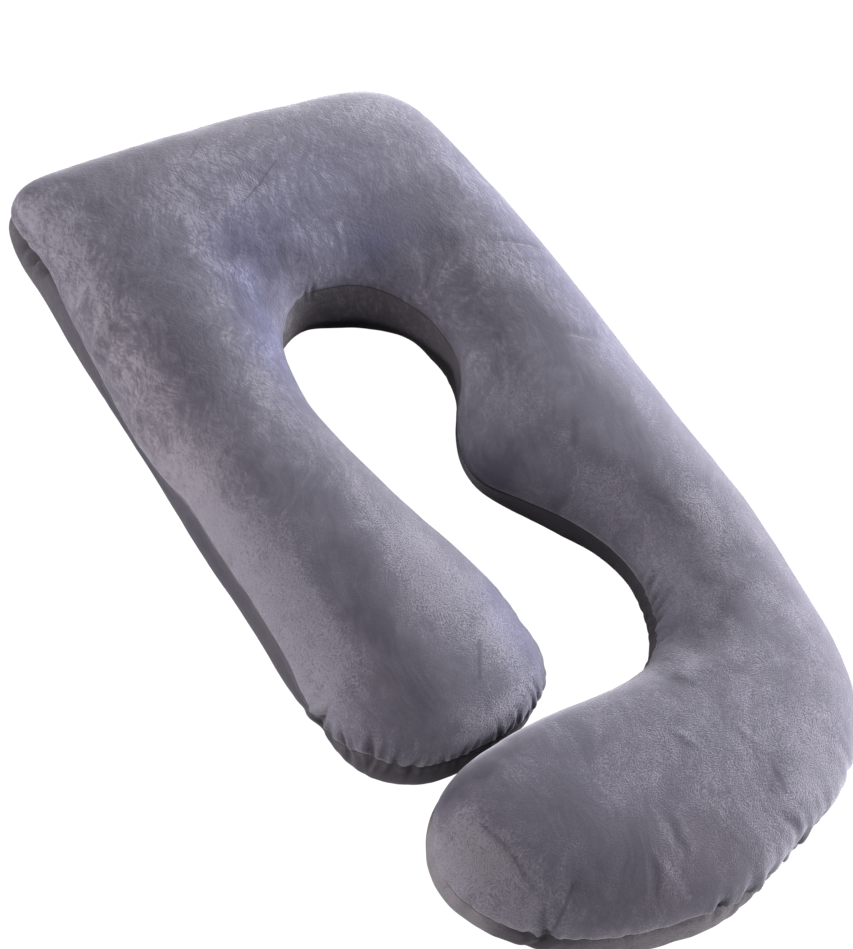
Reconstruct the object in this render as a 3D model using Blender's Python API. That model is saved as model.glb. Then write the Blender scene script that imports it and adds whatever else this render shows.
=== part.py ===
"""Full-body pregnancy pillow: one stuffed tube of velvet cloth, bent into a G.

It lies on its lower panel. The long straight arm is on the left (-X), the
head end is at +Y, and the other arm bends at the foot into a hook whose round
end lies against the straight arm. An upper and a lower panel are sewn together
by one seam that runs all the way round, on the outside and in the hollow.
Metres, +Z up, origin under the middle of the whole pillow.
"""
import math
from collections import namedtuple

import bmesh
import bpy
import numpy as np

# Driving dimensions, in metres
SEAM_HEIGHT = 0.090        # above the floor, where the sides are widest
SEAM_DRAW = 0.005          # how far the stitches draw the cloth in
PLAIN_STEP = 0.032         # between cross-sections where the cloth is smooth
GATHER_STEP = 0.0125       # between cross-sections where it is gathered
STEP_BLEND = 0.060         # over which the one spacing turns into the other

# Shape of a cross-section: 2 is an ellipse, more is squarer
UPPER_SQUARENESS = 2.4
LOWER_SQUARENESS = 3.2
LOWER_FULLNESS = 1.05      # over 1 the lower panel lies flat on the floor
CROWN_FADE = 0.85          # how soon the crown falls away over a round end
BELLY_FADE = 0.50          # how soon the lower panel does
FOOT_SAG = 1.7             # over 1 the lower panel is fullest near the floor
TIP_CALM = 2.5             # how soon seam and gathers reach full depth behind a tip
MOST_DRAW = 0.3            # of the way to the section's middle
WANDER_REACH = 68.0        # degrees round from the seam over which the cloth follows its wandering
MOST_WANDER = 0.5          # of the way from the widest place to the crown or the floor
FINE_SAMPLES = 1200        # along the tube, where its true length is measured
TINY = 1e-6                # a length that counts as none

# One row for each cross-section, from the straight arm's end round the head to
# the hook. The seam's place in the hollow and on the outside, the height of
# the crown, the height of the seam in the hollow, and how far the lower panel
# stands past that seam.
Section = namedtuple("Section", "name inner_x inner_y outer_x outer_y crown inner_seam foot")
SECTIONS = [
    Section("arm end",         -0.073, -0.305, -0.395, -0.300, 0.178, 0.090, 0.000),
    Section("arm, low",        -0.097, -0.160, -0.400, -0.125, 0.184, 0.090, 0.000),
    Section("arm, middle",     -0.142,  0.020, -0.400,  0.085, 0.184, 0.090, 0.000),
    Section("arm, high",       -0.156,  0.135, -0.400,  0.265, 0.184, 0.092, 0.000),
    Section("left shoulder",   -0.145,  0.225, -0.400,  0.440, 0.184, 0.097, 0.005),
    Section("left temple",     -0.118,  0.288, -0.400,  0.595, 0.183, 0.105, 0.012),
    Section("left corner",     -0.075,  0.328, -0.385,  0.685, 0.182, 0.112, 0.029),
    Section("head, left",      -0.015,  0.338, -0.220,  0.717, 0.187, 0.116, 0.045),
    Section("head, middle",     0.045,  0.323, -0.010,  0.725, 0.189, 0.115, 0.043),
    Section("head, right",      0.087,  0.285,  0.175,  0.720, 0.189, 0.112, 0.025),
    Section("right corner",     0.113,  0.239,  0.320,  0.690, 0.186, 0.106, 0.010),
    Section("right temple",     0.122,  0.192,  0.365,  0.535, 0.184, 0.100, 0.005),
    Section("right shoulder",   0.118,  0.145,  0.378,  0.350, 0.184, 0.095, 0.000),
    Section("back, high",       0.094,  0.095,  0.380,  0.195, 0.184, 0.087, 0.000),
    Section("back, bump",       0.056,  0.038,  0.380,  0.060, 0.183, 0.060, 0.000),
    Section("back, middle",     0.040, -0.044,  0.377, -0.060, 0.182, 0.051, 0.000),
    Section("back, low",        0.086, -0.125,  0.372, -0.190, 0.182, 0.063, 0.000),
    Section("hip",              0.146, -0.222,  0.364, -0.305, 0.181, 0.057, 0.000),
    Section("thigh",            0.154, -0.301,  0.343, -0.455, 0.181, 0.060, 0.000),
    Section("knee",             0.119, -0.384,  0.306, -0.605, 0.184, 0.080, 0.000),
    Section("foot, right",      0.044, -0.438,  0.214, -0.709, 0.189, 0.090, 0.000),
    Section("foot, middle",    -0.092, -0.442,  0.085, -0.752, 0.190, 0.091, 0.000),
    Section("foot, left",      -0.225, -0.437, -0.050, -0.775, 0.187, 0.092, 0.000),
]

# The outer seam wanders up and down the side. Places are measured along it from
# the arm's tip.
SeamPlace = namedtuple("SeamPlace", "name run height")
SEAM_PLACES = [
    SeamPlace("arm's tip",               0.00, 0.060),
    SeamPlace("arm's end",               0.08, 0.066),
    SeamPlace("arm's end, round",        0.15, 0.080),
    SeamPlace("dip at the notch",        0.24, 0.050),
    SeamPlace("above the notch",         0.36, 0.085),
    SeamPlace("arm, middle",             0.50, 0.073),
    SeamPlace("arm, high",               0.59, 0.080),
    SeamPlace("side's dip",              0.71, 0.052),
    SeamPlace("side's dip, end",         0.82, 0.050),
    SeamPlace("side, high",              0.94, 0.082),
    SeamPlace("below the left corner",   1.06, 0.112),
    SeamPlace("left corner",             1.18, 0.100),
    SeamPlace("head end, left",          1.35, 0.092),
    SeamPlace("right corner",            1.88, 0.093),
    SeamPlace("back",                    2.60, 0.089),
    SeamPlace("thigh",                   3.25, 0.091),
    SeamPlace("knee, low",               3.44, 0.069),
    SeamPlace("knee, low, end",          3.58, 0.070),
    SeamPlace("foot",                    3.72, 0.106),
    SeamPlace("foot, left",              3.84, 0.102),
    SeamPlace("hook's pinch",            3.96, 0.077),
    SeamPlace("hook's end",              4.10, 0.080),
]

# The two round ends, from the first and the last section out to their tips
End = namedtuple("End", "tip_x tip_y squareness steps")
ARM_END = End(-0.228, -0.430, 2.60, 20)
HOOK_END = End(-0.365, -0.614, 1.95, 18)
LEAD_ANGLE = math.radians(25.0)    # where an end is read to aim the tube at it

# Gathered cloth beside the outer seam, where it turns tightly
Gather = namedtuple("Gather", "name start end depth hollow_share")
GATHERS = [
    Gather("arm end",   0.00, 0.32, 0.0050, 0.8),
    Gather("hook turn", 3.36, 3.78, 0.0060, 0.0),
    Gather("hook end",  3.84, 4.20, 0.0030, 0.6),
]
# Every second cross-section is a valley: its share of the depth, by turns
UNEVEN = [1.0, 0.45, 0.8, 0.3, 1.15, 0.6, 0.35, 0.9, 0.5, 0.7]
FIRST_VALLEY = 0.4         # share of its depth that a stretch's first valley has

# Angles round a section where its points lie, from the outer seam over the
# crown to the hollow's seam and back underneath
RING_ANGLES = [0, 4, 11, 22, 36, 52, 68, 82, 98, 112, 128, 144, 158, 169, 176,
               180, 184, 191, 202, 216, 232, 248, 270, 292, 308, 324, 338, 349, 356]
# How much of the seam's draw and of a gather's depth is left at an angle from
# the nearer seam
SEAM_FADE = {0: 1.0, 4: 0.12}
GATHER_FADE = {0: 0.35, 4: 0.85, 11: 1.0, 22: 0.65, 36: 0.25, 52: 0.06}

# The main creases: soft troughs between two places on the surface, each given
# by its distance along the outer seam and its angle round the section
Crease = namedtuple("Crease", "name run_a angle_a run_b angle_b width depth")
CREASES = [
    Crease("corner tuck",      1.04,   1, 1.24,   4, 0.013, 0.009),
    Crease("corner fold",      1.08, 340, 1.15, 356, 0.012, 0.005),
    Crease("knee bend, high",  3.20, 170, 3.24, 138, 0.014, 0.004),
    Crease("knee bend",        3.30, 170, 3.37, 132, 0.014, 0.005),
    Crease("knee bend, low",   3.38, 170, 3.46, 140, 0.014, 0.004),
    Crease("hook pinch",       3.95, 348, 3.90,  40, 0.014, 0.006),
    Crease("hook crease",      3.86, 126, 3.91,  84, 0.016, 0.004),
]
CREASE_START = 0.15        # of a half wave, left off at both ends of a crease

CLOTH_COLOUR = (0.185, 0.175, 0.215, 1.0)
CLOTH_ROUGHNESS = 0.85


def clear_scene():
    for thing in list(bpy.data.objects):
        bpy.data.objects.remove(thing, do_unlink=True)


def smooth_curve(knots, values, samples):
    """Natural cubic spline through the values at the knots, read at the samples."""
    gaps = np.diff(knots)[:, None]
    slopes = np.diff(values, axis=0) / gaps
    count = len(knots)
    system = np.eye(count)
    target = np.zeros_like(values)
    for i in range(1, count - 1):
        system[i, i - 1] = gaps[i - 1, 0]
        system[i, i] = 2 * (gaps[i - 1, 0] + gaps[i, 0])
        system[i, i + 1] = gaps[i, 0]
        target[i] = 6 * (slopes[i] - slopes[i - 1])
    bend = np.linalg.solve(system, target)
    i = np.clip(np.searchsorted(knots, samples, side="right") - 1, 0, count - 2)
    after = (samples - knots[i])[:, None]
    before = (knots[i + 1] - samples)[:, None]
    gap = gaps[i]
    return ((bend[i] * before ** 3 + bend[i + 1] * after ** 3) / (6 * gap)
            + (values[i] / gap - bend[i] * gap / 6) * before
            + (values[i + 1] / gap - bend[i + 1] * gap / 6) * after)


def end_stations(row, end, angles):
    """Sections that round off an end: each is a share of the last full one."""
    inner, outer = row[0:2], row[2:4]
    middle, half = (inner + outer) / 2, (outer - inner) / 2
    tip = np.array([end.tip_x, end.tip_y])
    stations = []
    for angle in angles:
        share = max(math.cos(angle), 0.0) ** (2 / end.squareness)
        advance = math.sin(angle) ** (2 / end.squareness)
        centre = middle + (tip - middle) * advance
        crown = SEAM_HEIGHT + (row[4] - SEAM_HEIGHT) * share ** CROWN_FADE
        inner_seam = SEAM_HEIGHT + (row[5] - SEAM_HEIGHT) * share
        stations.append([*(centre - half * share), *(centre + half * share),
                         crown, inner_seam, row[6] * share, share])
    return np.array(stations)


def station_spacing(run):
    """Close together in a gathered stretch, wide apart elsewhere."""
    closeness = 0.0
    for gather in GATHERS:
        outside = max(gather.start - run, run - gather.end, 0.0)
        closeness = max(closeness, 1 - min(outside / STEP_BLEND, 1.0))
    return PLAIN_STEP + (GATHER_STEP - PLAIN_STEP) * closeness


def end_angles(end):
    return np.radians(np.linspace(90, 0, end.steps + 1))[:-1]


def make_stations():
    """All sections from tip to tip, with their place along the outer seam."""
    rows = np.array([section[1:] for section in SECTIONS])
    arm_cap = end_stations(rows[0], ARM_END, end_angles(ARM_END))
    hook_cap = end_stations(rows[-1], HOOK_END, end_angles(HOOK_END)[::-1])
    first = end_stations(rows[0], ARM_END, [LEAD_ANGLE])[:, :7]
    last = end_stations(rows[-1], HOOK_END, [LEAD_ANGLE])[:, :7]
    knots_at = np.vstack([first, rows, last])
    middles = (knots_at[:, 0:2] + knots_at[:, 2:4]) / 2
    knots = np.concatenate([[0.0], np.cumsum(np.linalg.norm(np.diff(middles, axis=0), axis=1))])

    fine = np.linspace(knots[1], knots[-2], FINE_SAMPLES)
    dense = smooth_curve(knots, knots_at, fine)
    longer = np.maximum(np.linalg.norm(np.diff(dense[:, 0:2], axis=0), axis=1),
                        np.linalg.norm(np.diff(dense[:, 2:4], axis=0), axis=1))
    cap_run = np.linalg.norm(np.diff(arm_cap[:, 2:4], axis=0), axis=1).sum()
    run = cap_run + np.concatenate([[0.0], np.cumsum(longer)])
    wanted = np.array([1 / station_spacing(place) for place in run])
    total = np.concatenate([[0.0], np.cumsum((wanted[1:] + wanted[:-1]) / 2 * np.diff(run))])
    count = 2 * round(total[-1] / 2)
    at = np.interp(np.linspace(0, total[-1], count + 1), total, fine)
    body = smooth_curve(knots, knots_at, at)
    body = np.hstack([body, np.ones((len(body), 1))])
    stations = np.vstack([arm_cap, body, hook_cap])
    steps = np.linalg.norm(np.diff(stations[:, 2:4], axis=0), axis=1)
    return stations, np.concatenate([[0.0], np.cumsum(steps)])


def ring_point(station, angle):
    """The point of one section at an angle round it, before seam and gathers."""
    inner, outer = station[0:2], station[2:4]
    crown, inner_seam, foot, share = station[4:8]
    turn = math.radians(angle)
    cos, sin = math.cos(turn), math.sin(turn)
    level = SEAM_HEIGHT + (inner_seam - SEAM_HEIGHT) * (1 - cos) / 2
    upper = sin >= 0
    power = 2 / (UPPER_SQUARENESS if upper else LOWER_SQUARENESS)
    across = math.copysign(abs(cos) ** power, cos)
    rise = abs(sin) ** power
    if upper:
        height = level + (crown - level) * rise
    else:
        height = level - level * LOWER_FULLNESS * share ** BELLY_FADE * rise
    middle, half = (inner + outer) / 2, (outer - inner) / 2
    place = middle + half * across
    if not upper and cos < 0:
        outward = (inner - outer) / max(np.linalg.norm(inner - outer), TINY)
        place = place + outward * foot * math.sin(math.pi * min(rise, 1.0) ** FOOT_SAG)
    return np.array([place[0], place[1], max(height, 0.0)])


def seam_turn(station, height):
    """How many degrees round the section the outer seam lies from the widest place."""
    crown, share = station[4], station[7]
    lift = (height - SEAM_HEIGHT) * share
    if lift >= 0:
        reach = max(crown - SEAM_HEIGHT, TINY)
        return math.degrees(math.asin(min(lift / reach, MOST_WANDER) ** (UPPER_SQUARENESS / 2)))
    reach = max(SEAM_HEIGHT * LOWER_FULLNESS * share ** BELLY_FADE, TINY)
    return -math.degrees(math.asin(min(-lift / reach, MOST_WANDER) ** (LOWER_SQUARENESS / 2)))


def seam_turns(stations, runs):
    knots = np.array([place.run for place in SEAM_PLACES])
    heights = np.array([[place.height] for place in SEAM_PLACES])
    wandering = smooth_curve(knots, heights, np.minimum(runs, knots[-1]))[:, 0]
    return [seam_turn(station, height) for station, height in zip(stations, wandering)]


def follow_seam(angle, turn):
    """The angle of a ring's point once it has followed the outer seam's wandering."""
    from_outer = min(angle, 360 - angle)
    return angle + turn * max(1 - from_outer / WANDER_REACH, 0.0)


def gather_depth(run, index):
    """How deep the valley at this section is, at the outer seam and in the hollow.

    Every second section is a ridge.
    """
    for gather in GATHERS:
        if index % 2 == 0 and gather.start <= run <= gather.end:
            fade = min(run - gather.start, gather.end - run) / STEP_BLEND
            depth = gather.depth * UNEVEN[index // 2 % len(UNEVEN)] * min(fade + FIRST_VALLEY, 1.0)
            return depth, depth * gather.hollow_share
    return 0.0, 0.0


def draw_in(station, point, depth):
    """Move a point towards the middle of its section, never past the floor."""
    centre = (station[0:2] + station[2:4]) / 2
    inward = np.array([centre[0] - point[0], centre[1] - point[1], SEAM_HEIGHT - point[2]])
    length = np.linalg.norm(inward)
    if length < TINY:
        return point
    return point + inward / length * min(depth, MOST_DRAW * length)


def crease_pull(point, start, end, crease):
    """How deep a crease presses the surface at a point beside its line."""
    along = end - start
    share = np.clip(np.dot(point - start, along) / np.dot(along, along), 0.0, 1.0)
    distance = np.linalg.norm(point - start - share * along)
    fade = math.sin(math.pi * (CREASE_START + (1 - 2 * CREASE_START) * share))
    return crease.depth * fade * math.exp(-(distance / crease.width) ** 2)


def place_on_surface(stations, runs, turns, run, angle):
    index = int(np.argmin(np.abs(runs - run)))
    return ring_point(stations[index], follow_seam(angle, turns[index]))


def make_rings(stations, runs):
    """The skin of the pillow as rings of points, with seam, gathers and creases."""
    turns = seam_turns(stations, runs)
    lines = [(place_on_surface(stations, runs, turns, crease.run_a, crease.angle_a),
              place_on_surface(stations, runs, turns, crease.run_b, crease.angle_b))
             for crease in CREASES]
    rings = []
    for index, station in enumerate(stations):
        outer_depth, hollow_depth = gather_depth(runs[index], index)
        ring = []
        for angle in RING_ANGLES:
            point = ring_point(station, follow_seam(angle, turns[index]))
            from_outer = min(angle, 360 - angle)
            from_hollow = abs(180 - angle)
            pull = SEAM_DRAW * SEAM_FADE.get(min(from_outer, from_hollow), 0.0)
            pull += outer_depth * GATHER_FADE.get(from_outer, 0.0)
            pull += hollow_depth * GATHER_FADE.get(from_hollow, 0.0)
            for (start, end), crease in zip(lines, CREASES):
                pull += crease_pull(point, start, end, crease)
            if point[2] > 0.0:
                point = draw_in(station, point, pull * min(1.0, TIP_CALM * station[7]))
            ring.append(point)
        rings.append(ring)
    return rings


def centred(rings):
    """Bring the middle of the outline over the origin."""
    points = np.array(rings).reshape(-1, 3)
    shift = (points.min(axis=0) + points.max(axis=0)) / 2
    print("outline centre before centring", shift[:2].round(5),
          "size", np.ptp(points, axis=0).round(4))
    return [[(p[0] - shift[0], p[1] - shift[1], p[2]) for p in ring] for ring in rings]


def skin_mesh(name, rings):
    """One closed skin: quads between rings and a fan of triangles at each tip."""
    mesh = bmesh.new()
    first, last = rings[0], rings[-1]
    tips = [mesh.verts.new(first[0]), mesh.verts.new(last[0])]
    loops = [[mesh.verts.new(point) for point in ring] for ring in rings[1:-1]]
    around = len(first)
    for near, far in zip(loops, loops[1:]):
        for i in range(around):
            j = (i + 1) % around
            mesh.faces.new((near[i], near[j], far[j], far[i]))
    for i in range(around):
        j = (i + 1) % around
        mesh.faces.new((tips[0], loops[0][j], loops[0][i]))
        mesh.faces.new((tips[1], loops[-1][i], loops[-1][j]))
    bmesh.ops.recalc_face_normals(mesh, faces=mesh.faces)
    bmesh.ops.triangulate(mesh, faces=mesh.faces, quad_method="SHORT_EDGE")
    data = bpy.data.meshes.new(name)
    mesh.to_mesh(data)
    mesh.free()
    data.shade_smooth()
    print(name, len(data.vertices), "points", len(data.polygons), "triangles")
    return data


def cloth_material():
    material = bpy.data.materials.new("brushed grey velvet")
    material.use_nodes = True
    shader = material.node_tree.nodes["Principled BSDF"]
    shader.inputs["Base Color"].default_value = CLOTH_COLOUR
    shader.inputs["Roughness"].default_value = CLOTH_ROUGHNESS
    shader.inputs["Metallic"].default_value = 0.0
    material.diffuse_color = CLOTH_COLOUR
    return material


def make_pillow():
    stations, runs = make_stations()
    print(len(stations), "sections along", round(float(runs[-1]), 3), "m of outer seam")
    rings = centred(make_rings(stations, runs))
    data = skin_mesh("pillow", rings)
    data.materials.append(cloth_material())
    pillow = bpy.data.objects.new("pillow", data)
    bpy.context.scene.collection.objects.link(pillow)
    return pillow


def main():
    clear_scene()
    make_pillow()


main()
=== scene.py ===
# %% [markdown]
# # A full-body pregnancy pillow in brushed velvet
#
# The pillow is one long stuffed tube, bent into a G. Two panels of grey velvet,
# an upper and a lower one, are sewn together by a single seam that runs round
# the outside and round the hollow. Stuffing pushes both panels out, and the
# stitches hold them in, so the cloth puckers beside the seam wherever it turns
# tightly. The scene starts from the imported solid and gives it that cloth.

# %% Load the solid that everything is built round
import math
from collections import namedtuple

import bmesh
import bpy
import numpy as np
from mathutils import Matrix, Vector, noise
from mathutils.kdtree import KDTree


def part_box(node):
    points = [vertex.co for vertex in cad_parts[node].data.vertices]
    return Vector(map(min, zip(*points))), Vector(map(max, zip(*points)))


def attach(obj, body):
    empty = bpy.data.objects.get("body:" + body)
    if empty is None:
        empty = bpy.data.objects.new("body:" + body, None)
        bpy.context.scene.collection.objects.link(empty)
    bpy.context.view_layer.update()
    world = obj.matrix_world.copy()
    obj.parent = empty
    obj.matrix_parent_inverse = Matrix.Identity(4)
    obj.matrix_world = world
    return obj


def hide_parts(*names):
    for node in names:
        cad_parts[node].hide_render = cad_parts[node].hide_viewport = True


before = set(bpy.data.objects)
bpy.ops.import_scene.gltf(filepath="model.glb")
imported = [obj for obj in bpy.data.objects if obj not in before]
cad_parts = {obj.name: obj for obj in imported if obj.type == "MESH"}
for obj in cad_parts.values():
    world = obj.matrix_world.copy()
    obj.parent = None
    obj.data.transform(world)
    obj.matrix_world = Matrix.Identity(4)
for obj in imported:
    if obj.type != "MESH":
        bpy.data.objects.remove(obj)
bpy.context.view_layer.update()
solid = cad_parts["pillow"]
low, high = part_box("pillow")
length, width, height = high.y - low.y, high.x - low.x, high.z - low.z
print(f"solid: {width:.3f} m across, {length:.3f} m long, {height:.3f} m high")

# %% [markdown]
# ## The camera
#
# The picture looks down on the pillow from the foot end's left, and the camera
# is rolled, so that the pillow lies across the picture from the top left to the
# bottom right. Azimuth turns the camera round the pillow, elevation lifts it,
# and roll tips the picture. It comes first, because every later choice is
# judged through it.

# %% Place the camera
CAMERA_AZIMUTH = math.radians(-50.1)
CAMERA_ELEVATION = math.radians(51.6)
CAMERA_ROLL = math.radians(20.8)
CAMERA_DISTANCE = 2.465
CAMERA_TARGET = Vector((-0.031, 0.011, 0.080))
CAMERA_LENS = 62.6         # mm, on a sensor 36 mm high


def add_object(name, data):
    """A new object in the scene."""
    made = bpy.data.objects.new(name, data)
    bpy.context.scene.collection.objects.link(made)
    return made


def place_camera():
    back = Vector((math.sin(CAMERA_AZIMUTH) * math.cos(CAMERA_ELEVATION),
                   -math.cos(CAMERA_AZIMUTH) * math.cos(CAMERA_ELEVATION),
                   math.sin(CAMERA_ELEVATION)))
    level = Vector((math.cos(CAMERA_AZIMUTH), math.sin(CAMERA_AZIMUTH), 0.0))
    upright = back.cross(level)
    right = level * math.cos(CAMERA_ROLL) + upright * math.sin(CAMERA_ROLL)
    up = upright * math.cos(CAMERA_ROLL) - level * math.sin(CAMERA_ROLL)
    turn = Matrix((right, up, back)).transposed().to_4x4()
    data = bpy.data.cameras.new("view")
    data.lens = CAMERA_LENS
    camera = add_object("view", data)
    camera.matrix_world = Matrix.Translation(CAMERA_TARGET + back * CAMERA_DISTANCE) @ turn
    bpy.context.scene.camera = camera
    return camera


camera = place_camera()
print("camera at", [round(x, 3) for x in camera.location])

# %% [markdown]
# ## The skin
#
# The cover could be modelled again from nothing, or remeshed into even cubes.
# But the solid already has the true outline, the crown and the drawn-in seam,
# and its faces follow the tube. So the skin is a copy of it, with its triangles
# paired back into quads and subdivided: the smoothing turns the solid's facets
# into soft cloth, and its zigzag gathers into round puckers.

# %% Copy the solid and pair its triangles into quads
WELD = 0.00002             # points nearer than this become one
PAIR_FOLD = math.radians(70)    # the most that the two triangles of a quad fold
PAIR_SKEW = math.radians(90)    # the most that a quad's corner is off square


def copy_as_quads(source, name):
    mesh = bmesh.new()
    mesh.from_mesh(source.data)
    bmesh.ops.remove_doubles(mesh, verts=mesh.verts, dist=WELD)
    bmesh.ops.join_triangles(mesh, faces=mesh.faces, cmp_seam=False, cmp_sharp=False,
                             cmp_uvs=False, cmp_vcols=False, cmp_materials=False,
                             angle_face_threshold=PAIR_FOLD,
                             angle_shape_threshold=PAIR_SKEW)
    bmesh.ops.recalc_face_normals(mesh, faces=mesh.faces)
    data = bpy.data.meshes.new(name)
    quads = sum(len(face.verts) == 4 for face in mesh.faces)
    print(name, len(mesh.verts), "points,", quads, "quads of", len(mesh.faces), "faces")
    mesh.to_mesh(data)
    mesh.free()
    return add_object(name, data)


cover = copy_as_quads(solid, "velvet_cover")

# %% [markdown]
# ## The seam
#
# The seam is where the two panels meet. Its route could be typed in again, but
# finding it on the solid keeps it exactly where the solid has it. It starts on
# the edge that folds inwards most, the bottom of the drawn-in groove, and then
# keeps taking the next edge that runs on straightest and most level, until it is
# back at its start. The loop parts the skin into the upper and the lower panel.

# %% Follow the seam round the skin
UPPER, LOWER = 0, 1        # the panels' material slots
SEAM_BAND = (0.40 * height, 0.68 * height)    # the seam lies between these heights
LEVEL_EDGE = 0.001         # the most that a level edge rises
RISE_COST = 3.0
SEAM_CREASE = 0.75         # how sharp the seam stays when the skin is subdivided


def inward_fold(edge):
    """How far a level edge in the seam's band folds, negative where it folds inwards."""
    near, far = edge.verts[0].co.z, edge.verts[1].co.z
    if abs(near - far) > LEVEL_EDGE or not SEAM_BAND[0] < near < SEAM_BAND[1]:
        return math.pi
    return edge.calc_face_angle_signed(0.0)


def follow_seam(mesh):
    """The seam as a closed list of edges."""
    first = min(mesh.edges, key=inward_fold)
    start, last, here = first.verts[0], first.verts[0], first.verts[1]
    seam = [first]
    while here != start:
        ahead = (here.co - last.co).normalized()

        def straightness(edge):
            step = edge.other_vert(here).co - here.co
            return (ahead.dot(step) - RISE_COST * abs(step.z)) / step.length

        ways = [edge for edge in here.link_edges if edge != seam[-1]]
        seam.append(max(ways, key=straightness))
        last, here = here, seam[-1].other_vert(here)
    return seam


def part_panels(piece):
    """Give the faces above the seam one material slot and those below it the other."""
    mesh = bmesh.new()
    mesh.from_mesh(piece.data)
    crease = mesh.edges.layers.float.new("crease_edge")
    seam = set(follow_seam(mesh))
    for edge in seam:
        edge[crease] = SEAM_CREASE
    for face in mesh.faces:
        face.material_index = LOWER
    top = max(mesh.faces, key=lambda face: face.calc_center_median().z)
    top.material_index = UPPER
    reached = [top]
    while reached:
        for edge in reached.pop().edges:
            if edge in seam:
                continue
            for face in edge.link_faces:
                if face.material_index == LOWER:
                    face.material_index = UPPER
                    reached.append(face)
    above = sum(face.material_index == UPPER for face in mesh.faces)
    print("seam of", len(seam), "edges;", above, "faces above it,", len(mesh.faces) - above, "below")
    mesh.to_mesh(piece.data)
    mesh.free()


part_panels(cover)

# %% [markdown]
# ## Subdividing the skin
#
# A Subdivision Surface modifier rounds the solid's facets. Its result is taken
# back into the mesh, because the creases of the next steps are pressed into real
# points, and a modifier that stayed would smooth them away.

# %% Subdivide and keep the result
def subdivide(piece, levels):
    modifier = piece.modifiers.new("rounding", "SUBSURF")
    modifier.levels = modifier.render_levels = levels
    graph = bpy.context.evaluated_depsgraph_get()
    finer = bpy.data.meshes.new_from_object(piece.evaluated_get(graph))
    piece.modifiers.clear()
    piece.data = finer
    finer.name = piece.name
    finer.shade_smooth()
    print(piece.name, "now has", len(finer.vertices), "points and", len(finer.polygons), "faces")


subdivide(cover, 2)


# %% Read and write the points as arrays
def read_rows(collection, name):
    """Three numbers of every element, one row each."""
    flat = np.empty(len(collection) * 3)
    collection.foreach_get(name, flat)
    return flat.reshape(-1, 3)


def write_points(piece, points):
    piece.data.vertices.foreach_set("co", points.ravel())
    piece.data.update()


def write_attribute(piece, name, values):
    """A number for each point, which the materials read by its name."""
    layer = piece.data.attributes.new(name, "FLOAT", "POINT")
    layer.data.foreach_set("value", np.asarray(values, dtype=np.float32))
    print(f"attribute {name}: {values.min():.3f} to {values.max():.3f}")


# %% [markdown]
# ## Places on the skin
#
# Puckers and creases are placed by two measures, as on a paper pattern: the run
# along the seam, and the gap between a point and the seam. The run starts at the
# straight arm's round end, goes up the outer side, over the head and down the
# other arm to the hook's end, and comes back through the hollow.

# %% Measure the run and the gap of every point
SEAM_START = Vector((-0.218, -0.405, 0.090))    # at the straight arm's end, on the outer side
SEAM_AHEAD = Vector((-0.386, -0.206, 0.090))    # further along the outer side


def seam_points(piece):
    """The seam's points in order, from its start, outer side first."""
    edges_of = {}
    panel = {}
    for polygon in piece.data.polygons:
        for key in polygon.edge_keys:
            if panel.setdefault(key, polygon.material_index) != polygon.material_index:
                edges_of.setdefault(key[0], []).append(key[1])
                edges_of.setdefault(key[1], []).append(key[0])
    first = min(edges_of, key=lambda i: (piece.data.vertices[i].co - SEAM_START).length)
    order = [first, edges_of[first][0]]
    while True:
        ahead = [i for i in edges_of[order[-1]] if i != order[-2]]
        if ahead[0] == first:
            break
        order.append(ahead[0])
    points = np.array([piece.data.vertices[i].co for i in order])
    nearest = int(np.argmin(np.linalg.norm(points - np.array(SEAM_AHEAD), axis=1)))
    if nearest > len(points) / 2:
        points = np.roll(points[::-1], 1, axis=0)
    return points


def measure_from_seam(points, seam):
    """For each point: its run along the seam, and its distance from it."""
    ends = np.roll(seam, -1, axis=0)
    steps = ends - seam
    lengths = np.linalg.norm(steps, axis=1)
    starts = np.concatenate([[0.0], np.cumsum(lengths)[:-1]])
    tree = KDTree(len(seam))
    for i, point in enumerate(seam):
        tree.insert(point, i)
    tree.balance()
    nearest = np.array([tree.find(point)[1] for point in points])
    run, gap = np.zeros(len(points)), np.full(len(points), np.inf)
    for back in (1, 0):
        i = (nearest - back) % len(seam)
        offset = points - seam[i]
        share = np.clip(np.einsum("ij,ij->i", offset, steps[i]) / lengths[i] ** 2, 0.0, 1.0)
        distance = np.linalg.norm(offset - share[:, None] * steps[i], axis=1)
        closer = distance < gap
        run[closer] = (starts[i] + share * lengths[i])[closer]
        gap[closer] = distance[closer]
    return run, gap, lengths.sum()


def upper_points(piece):
    """True for each point of the upper panel, the seam's own points among them."""
    upper = np.zeros(len(piece.data.vertices), dtype=bool)
    for polygon in piece.data.polygons:
        if polygon.material_index == UPPER:
            upper[list(polygon.vertices)] = True
    return upper


points = read_rows(cover.data.vertices, "co")
seam = seam_points(cover)
run, gap, seam_length = measure_from_seam(points, seam)
upper = upper_points(cover)
print(f"the seam is {seam_length:.3f} m long; the farthest cloth is {gap.max():.3f} m from it")


def along_seam(table):
    """A value for every point, from a table of (run, value) pairs."""
    runs, values = zip(*table)
    return np.interp(run, runs, values)


# %% [markdown]
# ## Puckers beside the seam
#
# A flat panel can only become round if its rim takes in spare cloth, and it does
# so in small pleats where the outline turns tightly: round the straight arm's
# end, along the hook's turn and in the hollow's bend, with fainter ones on the
# hook's end, at the corners and far apart on the long sides. Each pleat is a short
# valley that starts on the seam, is deepest just beside it, and runs out on the
# swell, with a low ridge on each side. A wave texture would space them evenly.
# These have a fixed seed and uneven pitch, depth, length and slant.

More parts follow.
